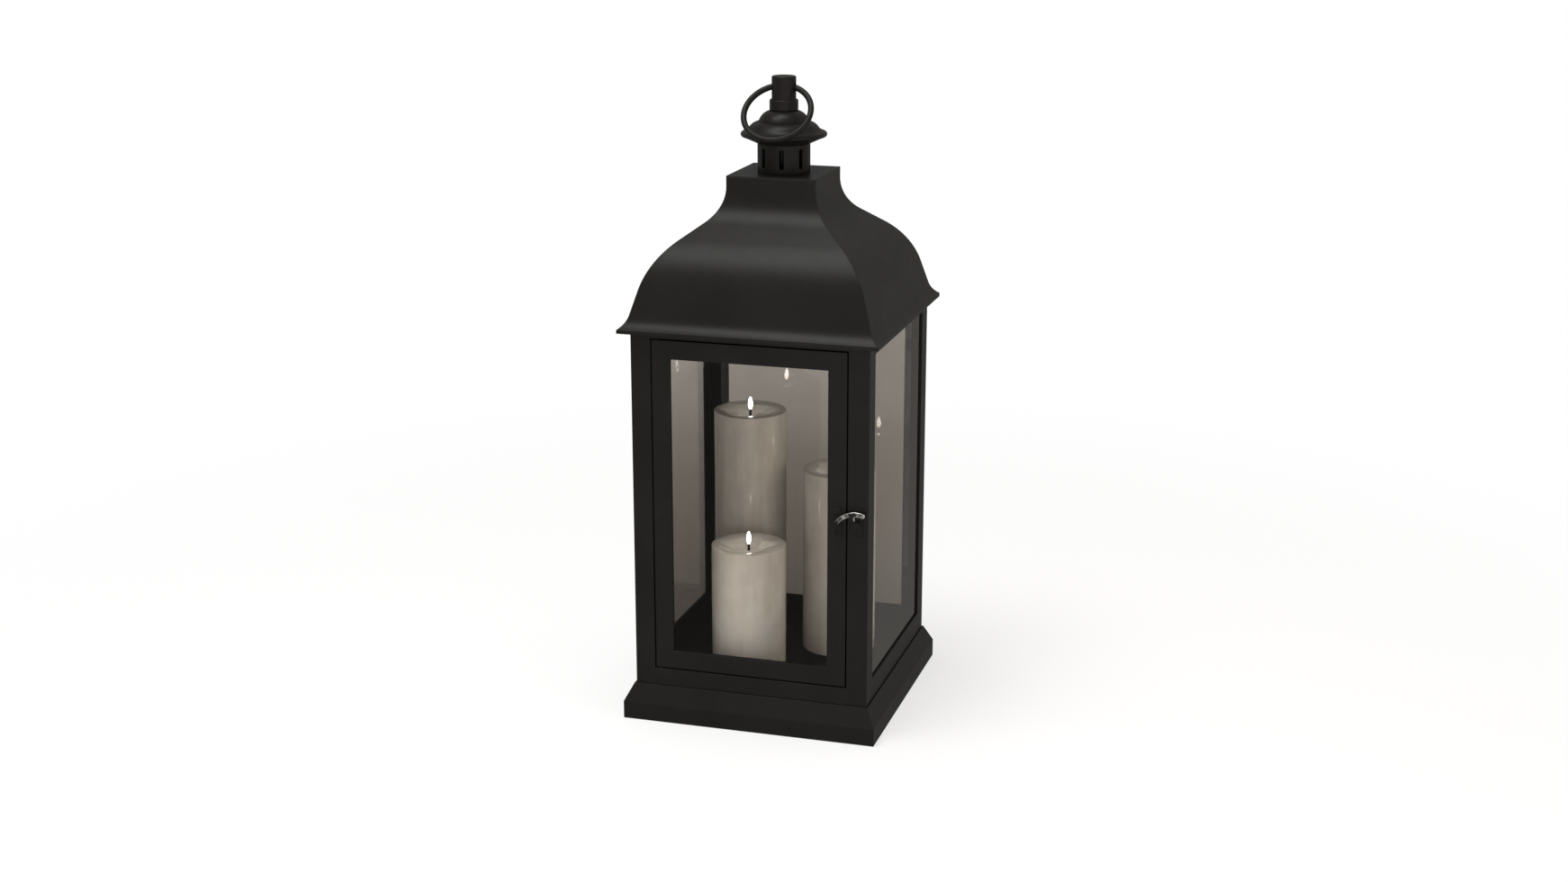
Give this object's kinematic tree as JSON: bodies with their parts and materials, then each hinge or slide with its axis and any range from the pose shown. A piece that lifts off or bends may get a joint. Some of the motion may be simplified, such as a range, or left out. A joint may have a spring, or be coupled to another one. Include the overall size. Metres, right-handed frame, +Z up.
{
  "type": "candle lantern",
  "caption": "Square glazed candle lantern in black sheet steel with a hinged front door and latch, an ogee roof, a vented chimney with a carrying ring, and battery pillar candles.",
  "frame": {"origin": "centre of the base on the ground", "axes": "+Z up, -Y out of the front where the door is, +X to the right of the door seen from the front"},
  "size_m": [0.254, 0.254, 0.62],
  "materials": {
    "black_paint": "satin",
    "glass": "clear, lightly smoked",
    "steel": "blackened",
    "bright_steel": "polished",
    "wax": "satin wax",
    "wick": "matte",
    "flame": "glowing",
    "case_plastic": "moulded",
    "switch_plastic": "moulded",
    "cell_can": "dark sleeve"
  },
  "bodies": {
    "lantern": {"cap_dome": "black_paint", "catch_plate": "black_paint", "catch_screws": "black_paint", "chimney_cap": "black_paint", "chimney_tube": "black_paint", "floor_tray": "black_paint", "hinge_pins": "steel", "pane_clips": "steel", "pane_left": "glass", "pane_rear": "glass", "pane_right": "glass", "plinth_front": "black_paint", "plinth_left": "black_paint", "plinth_rear": "black_paint", "plinth_right": "black_paint", "post_front_left": "black_paint", "post_front_right": "black_paint", "post_rear_left": "black_paint", "post_rear_right": "black_paint", "ring_stem": "black_paint", "roof_panel_front": "black_paint", "roof_panel_left": "black_paint", "roof_panel_rear": "black_paint", "roof_panel_right": "black_paint", "roof_top_plate": "black_paint", "sill_front": "black_paint", "sill_left": "black_paint", "sill_rear": "black_paint", "sill_right": "black_paint", "stem_collar": "black_paint", "tie_bolt": "steel", "top_ring": "black_paint"},
    "door": {"door_frame": "black_paint", "door_pane": "glass", "door_pane_clips": "steel", "latch_plate": "black_paint", "latch_screws": "black_paint"},
    "latch": {"latch_lever": "bright_steel"},
    "ring": {"carry_ring": "black_paint"},
    "candle_front": {"candle_front_battery_case": "case_plastic", "candle_front_cells": "cell_can", "candle_front_cover": "case_plastic", "candle_front_flame": "flame", "candle_front_wax": "wax", "candle_front_wick": "wick"},
    "candle_front_slider": {"candle_front_switch": "switch_plastic"},
    "candle_right": {"candle_right_battery_case": "case_plastic", "candle_right_cells": "cell_can", "candle_right_cover": "case_plastic", "candle_right_flame": "flame", "candle_right_wax": "wax", "candle_right_wick": "wick"},
    "candle_right_slider": {"candle_right_switch": "switch_plastic"},
    "candle_tall": {"candle_tall_battery_case": "case_plastic", "candle_tall_cells": "cell_can", "candle_tall_cover": "case_plastic", "candle_tall_flame": "flame", "candle_tall_wax": "wax", "candle_tall_wick": "wick"},
    "candle_tall_slider": {"candle_tall_switch": "switch_plastic"}
  },
  "joints": [
    {"name": "door_hinge", "type": "hinge", "parent": "lantern", "child": "door", "pos_m": [-0.0915, -0.114, 0.218], "axis": [0, 0, -1], "range_deg": [0, 110]},
    {"name": "latch_turn", "type": "hinge", "parent": "door", "child": "latch", "pos_m": [0.0865, -0.1218, 0.218], "axis": [0, -1, 0], "range_deg": [0, 90]},
    {"name": "ring_swing", "type": "hinge", "parent": "lantern", "child": "ring", "pos_m": [0, 0, 0.61], "axis": [-1, 0, 0], "range_deg": [0, 270]},
    {"name": "candle_front_lift", "type": "slide", "parent": "lantern", "child": "candle_front", "axis": [0, 0, 1], "range_m": [0, 0.06]},
    {"name": "candle_front_switch_slide", "type": "slide", "parent": "candle_front", "child": "candle_front_slider", "axis": [1, 0, 0], "range_m": [0, 0.004]},
    {"name": "candle_right_lift", "type": "slide", "parent": "lantern", "child": "candle_right", "axis": [0, 0, 1], "range_m": [0, 0.06]},
    {"name": "candle_right_switch_slide", "type": "slide", "parent": "candle_right", "child": "candle_right_slider", "axis": [1, 0, 0], "range_m": [0, 0.004]},
    {"name": "candle_tall_lift", "type": "slide", "parent": "lantern", "child": "candle_tall", "axis": [0, 0, 1], "range_m": [0, 0.06]},
    {"name": "candle_tall_switch_slide", "type": "slide", "parent": "candle_tall", "child": "candle_tall_slider", "axis": [1, 0, 0], "range_m": [0, 0.004]}
  ]
}
